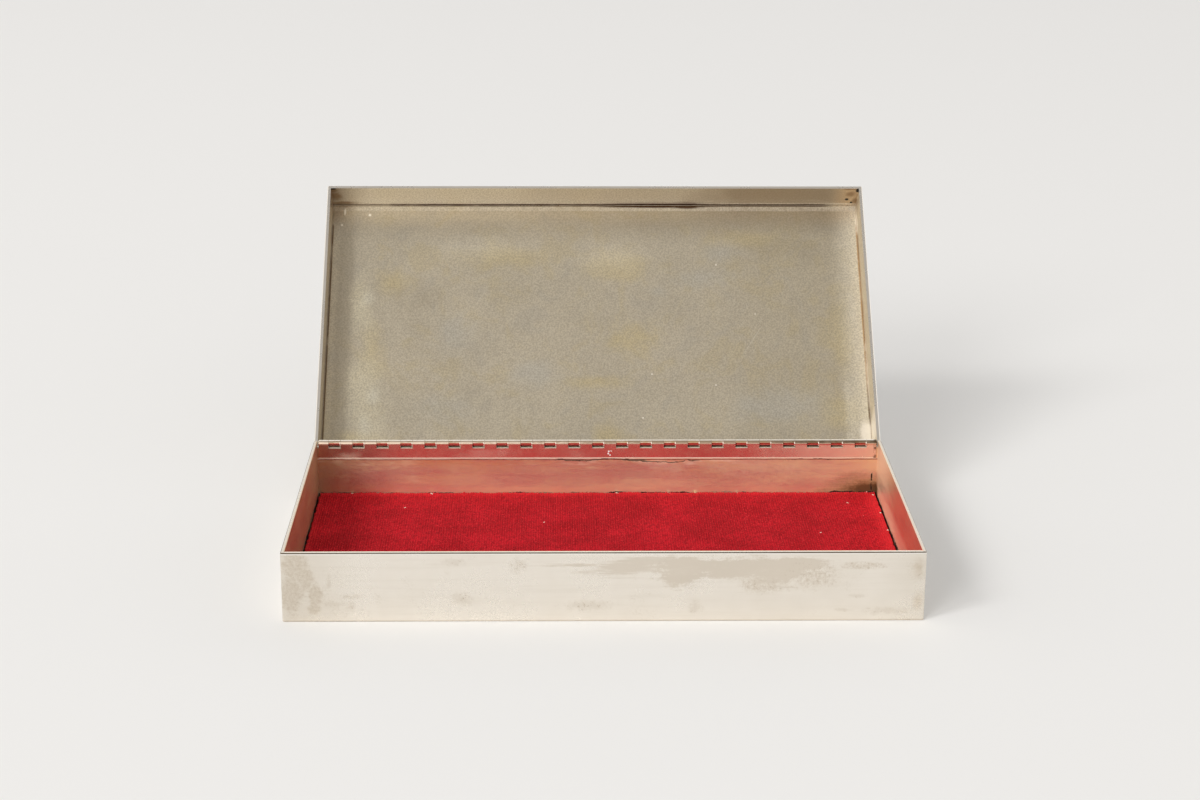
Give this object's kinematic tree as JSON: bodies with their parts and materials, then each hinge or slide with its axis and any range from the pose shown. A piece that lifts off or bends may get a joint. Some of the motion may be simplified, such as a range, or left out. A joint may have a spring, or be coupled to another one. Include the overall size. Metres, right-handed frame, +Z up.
{
  "type": "stamp box",
  "caption": "Shallow oblong metal box, its hinged lid open, with a velvet-lined floor and a full-width hinge.",
  "frame": {"origin": "on the ground, under the middle of the base", "axes": "+X along the box, to the right in the picture; +Y from front to back; +Z up"},
  "size_m": [0.19, 0.1858, 0.0925],
  "materials": {
    "silver_sheet": "satin silver-coloured sheet, lightly tarnished, fine grain along the walls",
    "hinge_leaf": "satin, dull in the corners",
    "hinge_steel": "drawn wire",
    "card": "matt card, stands for pasteboard",
    "velvet": "red ribbed velvet, short pile"
  },
  "bodies": {
    "base": {"base_front_wall": "silver_sheet", "base_back_wall": "silver_sheet", "base_left_wall": "silver_sheet", "base_right_wall": "silver_sheet", "base_bottom_plate": "silver_sheet", "base_hinge_leaf": "hinge_leaf", "hinge_pin": "hinge_steel", "lining_card": "card", "velvet_lining": "velvet"},
    "lid": {"lid_front_wall": "silver_sheet", "lid_back_wall": "silver_sheet", "lid_left_wall": "silver_sheet", "lid_right_wall": "silver_sheet", "lid_top_plate": "silver_sheet", "lid_hinge_leaf": "hinge_leaf"}
  },
  "joints": [
    {"name": "lid_hinge", "type": "hinge", "parent": "base", "child": "lid", "pos_m": [0, 0.05142, 0.02101], "axis": [1, 0, 0], "range_deg": [0, 135.5]}
  ]
}
